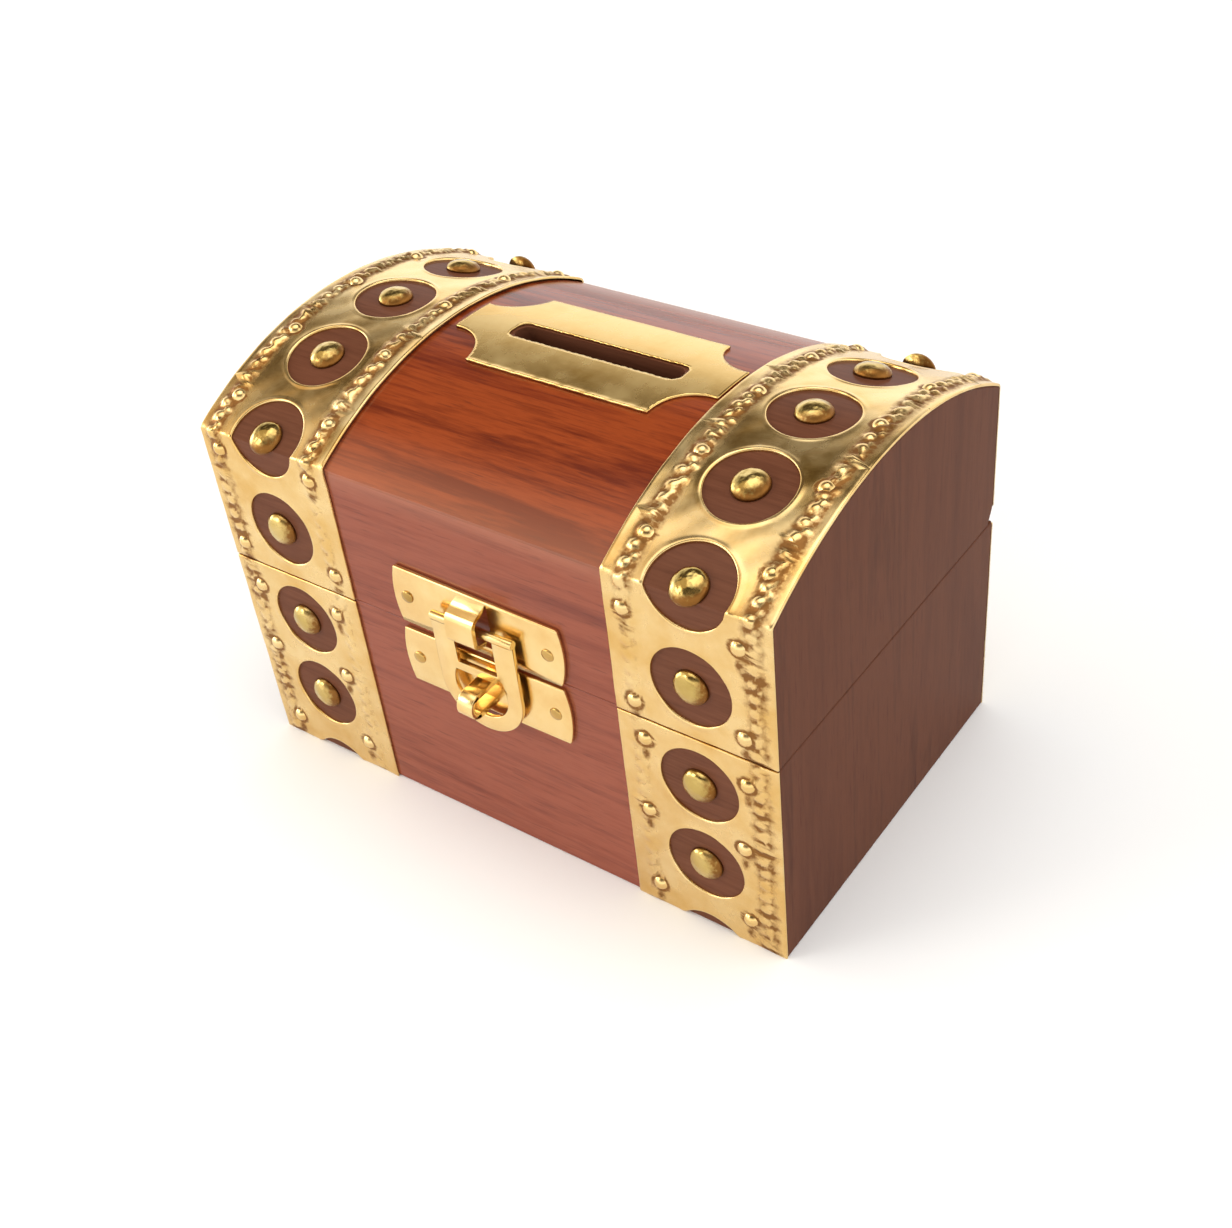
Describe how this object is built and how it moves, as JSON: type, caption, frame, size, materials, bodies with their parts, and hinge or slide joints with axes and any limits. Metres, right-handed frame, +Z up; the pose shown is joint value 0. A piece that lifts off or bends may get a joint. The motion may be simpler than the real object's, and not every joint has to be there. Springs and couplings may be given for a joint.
{
  "type": "wooden money box",
  "caption": "Small wooden chest with a domed hinged lid, pierced brass straps with round-headed nails, a coin slot in the lid and a brass hasp and staple at the front.",
  "frame": {"origin": "middle of the wooden case's underside", "axes": "+X along the length towards the viewer's right, -Y out of the front with the hasp, +Z up"},
  "size_m": [0.127, 0.0893, 0.0901],
  "materials": {
    "varnished_wood": "red-brown hardwood under a clear gloss varnish",
    "sheet_brass": "thin polished sheet, embossed along the edges",
    "nail_brass": "polished domed heads",
    "hasp_brass": "polished stamped plate"
  },
  "bodies": {
    "case": {"case_left_end": "varnished_wood", "case_right_end": "varnished_wood", "case_front_board": "varnished_wood", "case_back_board": "varnished_wood", "bottom_board": "varnished_wood", "hasp_case_plate": "hasp_brass", "hasp_case_nails": "nail_brass", "hasp_staple": "hasp_brass", "hinge_case_nails": "nail_brass", "case_strap_front_left": "sheet_brass", "case_strap_back_left": "sheet_brass", "case_dome_nails_left": "nail_brass", "case_pins_left": "nail_brass", "hinge_left_case_leaf": "hasp_brass", "hinge_left_pin": "hasp_brass", "case_strap_front_right": "sheet_brass", "case_strap_back_right": "sheet_brass", "case_dome_nails_right": "nail_brass", "case_pins_right": "nail_brass", "hinge_right_case_leaf": "hasp_brass", "hinge_right_pin": "hasp_brass"},
    "lid": {"lid_left_end": "varnished_wood", "lid_right_end": "varnished_wood", "lid_front_rail": "varnished_wood", "lid_back_rail": "varnished_wood", "lid_top_board": "varnished_wood", "coin_slot_plate": "sheet_brass", "hasp_lid_plate": "hasp_brass", "hasp_lid_nails": "nail_brass", "hinge_lid_nails": "nail_brass", "lid_strap_left": "sheet_brass", "lid_dome_nails_left": "nail_brass", "lid_pins_left": "nail_brass", "hinge_left_lid_leaf": "hasp_brass", "lid_strap_right": "sheet_brass", "lid_dome_nails_right": "nail_brass", "lid_pins_right": "nail_brass", "hinge_right_lid_leaf": "hasp_brass"},
    "hasp_flap": {"hasp_flap": "hasp_brass"}
  },
  "joints": [
    {"name": "lid_hinge", "type": "hinge", "parent": "case", "child": "lid", "pos_m": [0, 0.0387, 0.047], "axis": [-1, 0, 0], "range_deg": [0, 100]},
    {"name": "flap_hinge", "type": "hinge", "parent": "lid", "child": "hasp_flap", "pos_m": [0.0014, -0.0421, 0.0543], "axis": [-1, 0, 0], "range_deg": [0, 170]}
  ]
}
